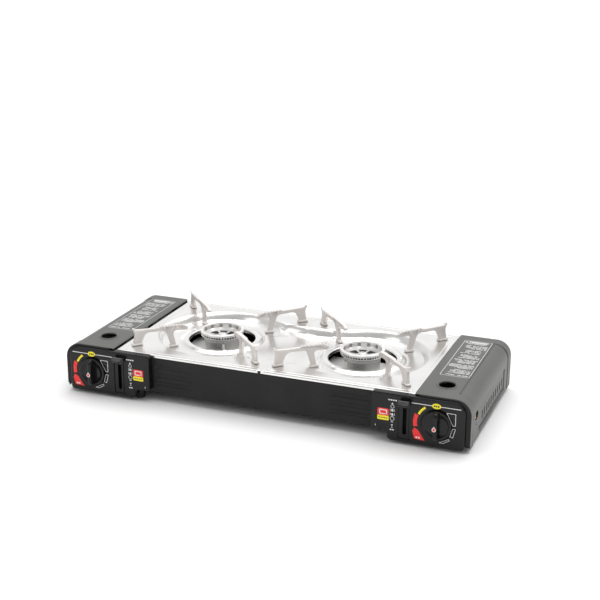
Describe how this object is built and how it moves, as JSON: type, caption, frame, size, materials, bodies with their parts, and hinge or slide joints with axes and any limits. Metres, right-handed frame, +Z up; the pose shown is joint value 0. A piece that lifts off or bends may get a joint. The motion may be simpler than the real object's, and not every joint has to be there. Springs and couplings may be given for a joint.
{
  "type": "camping stove",
  "caption": "Low twin-burner camping stove with a recessed steel hob, diagonal pan supports, and a lidded gas-cartridge bay with knob and lever at each end.",
  "frame": {"origin": "on the ground under the middle of the stove's bounding box", "axes": "+X along the stove to the cook's right, +Y towards its back, +Z up"},
  "size_m": [0.669, 0.2906, 0.1097],
  "materials": {
    "black_paint": "satin",
    "gloss_black": "gloss",
    "lid_paint": "satin",
    "polished_steel": "polished",
    "arm_enamel": "satin",
    "cast_aluminium": "satin",
    "dull_steel": "satin",
    "galvanised": "satin",
    "brass": "machined",
    "ceramic": "glazed",
    "rubber": "matte",
    "zinc_casting": "cast"
  },
  "bodies": {
    "stove_body": {"base_pan": "black_paint", "panel_frame_left": "black_paint", "panel_frame_right": "black_paint", "control_panel_left": "gloss_black", "igniter_left": "gloss_black", "control_panel_right": "gloss_black", "igniter_right": "gloss_black", "burner_head_left": "cast_aluminium", "cartridge_rest_left": "cast_aluminium", "burner_head_right": "cast_aluminium", "cartridge_rest_right": "cast_aluminium", "burner_drum_left": "dull_steel", "mixing_tube_left": "dull_steel", "hinge_pin_left": "dull_steel", "lever_pin_left": "dull_steel", "burner_drum_right": "dull_steel", "mixing_tube_right": "dull_steel", "hinge_pin_right": "dull_steel", "lever_pin_right": "dull_steel", "burner_bridge_left": "galvanised", "partition_left": "galvanised", "lever_bracket_left": "galvanised", "burner_bridge_right": "galvanised", "partition_right": "galvanised", "lever_bracket_right": "galvanised", "gas_inlet_left": "brass", "regulator_screw_left": "brass", "gas_inlet_right": "brass", "regulator_screw_right": "brass", "electrode_left": "ceramic", "electrode_right": "ceramic", "foot_front_left": "rubber", "foot_rear_left": "rubber", "foot_front_right": "rubber", "foot_rear_right": "rubber", "gas_valve_left": "zinc_casting", "gas_valve_right": "zinc_casting"},
    "tray": {"hob_tray": "polished_steel", "tray_bumper": "rubber", "pan_arm_rear_outer_left": "arm_enamel", "pan_arm_rear_inner_left": "arm_enamel", "pan_arm_front_inner_left": "arm_enamel", "pan_arm_front_outer_left": "arm_enamel", "pan_arm_rear_outer_right": "arm_enamel", "pan_arm_rear_inner_right": "arm_enamel", "pan_arm_front_inner_right": "arm_enamel", "pan_arm_front_outer_right": "arm_enamel"},
    "lid_left_body": {"lid_left": "lid_paint"},
    "knob_left_body": {"knob_left": "gloss_black", "knob_spindle_left": "brass"},
    "lever_left_body": {"lever_left": "black_paint"},
    "pusher_left_body": {"cartridge_pusher_left": "dull_steel"},
    "lid_right_body": {"lid_right": "lid_paint"},
    "knob_right_body": {"knob_right": "gloss_black", "knob_spindle_right": "brass"},
    "lever_right_body": {"lever_right": "black_paint"},
    "pusher_right_body": {"cartridge_pusher_right": "dull_steel"}
  },
  "joints": [
    {"name": "lid_left_hinge", "type": "hinge", "parent": "stove_body", "child": "lid_left_body", "pos_m": [-0.2535, 0.0128, 0.079], "axis": [0, 1, 0], "range_deg": [0, 90]},
    {"name": "knob_left_turn", "type": "hinge", "parent": "stove_body", "child": "knob_left_body", "pos_m": [-0.2851, -0.1372, 0.0406], "axis": [0, -1, 0], "range_deg": [0, 150]},
    {"name": "lever_left_swing", "type": "hinge", "parent": "stove_body", "child": "lever_left_body", "pos_m": [-0.2362, -0.1052, 0.042], "axis": [1, 0, 0], "range_deg": [0, 74]},
    {"name": "pusher_left_slide", "type": "slide", "parent": "stove_body", "child": "pusher_left_body", "axis": [0, -1, 0], "range_m": [0, 0.00795]},
    {"name": "lid_right_hinge", "type": "hinge", "parent": "stove_body", "child": "lid_right_body", "pos_m": [0.2535, 0.0128, 0.079], "axis": [0, -1, 0], "range_deg": [0, 90]},
    {"name": "knob_right_turn", "type": "hinge", "parent": "stove_body", "child": "knob_right_body", "pos_m": [0.2851, -0.1372, 0.0406], "axis": [0, -1, 0], "range_deg": [0, 150]},
    {"name": "lever_right_swing", "type": "hinge", "parent": "stove_body", "child": "lever_right_body", "pos_m": [0.2362, -0.1052, 0.042], "axis": [1, 0, 0], "range_deg": [0, 74]},
    {"name": "pusher_right_slide", "type": "slide", "parent": "stove_body", "child": "pusher_right_body", "axis": [0, -1, 0], "range_m": [0, 0.00795]},
    {"name": "tray_lift", "type": "slide", "parent": "stove_body", "child": "tray", "axis": [0, 0, 1], "range_m": [0, 0.08]}
  ],
  "couplings": [
    {"joint": "pusher_left_slide", "follows": "lever_left_swing", "m_per_rad": 0.006151},
    {"joint": "pusher_right_slide", "follows": "lever_right_swing", "m_per_rad": 0.006151}
  ]
}
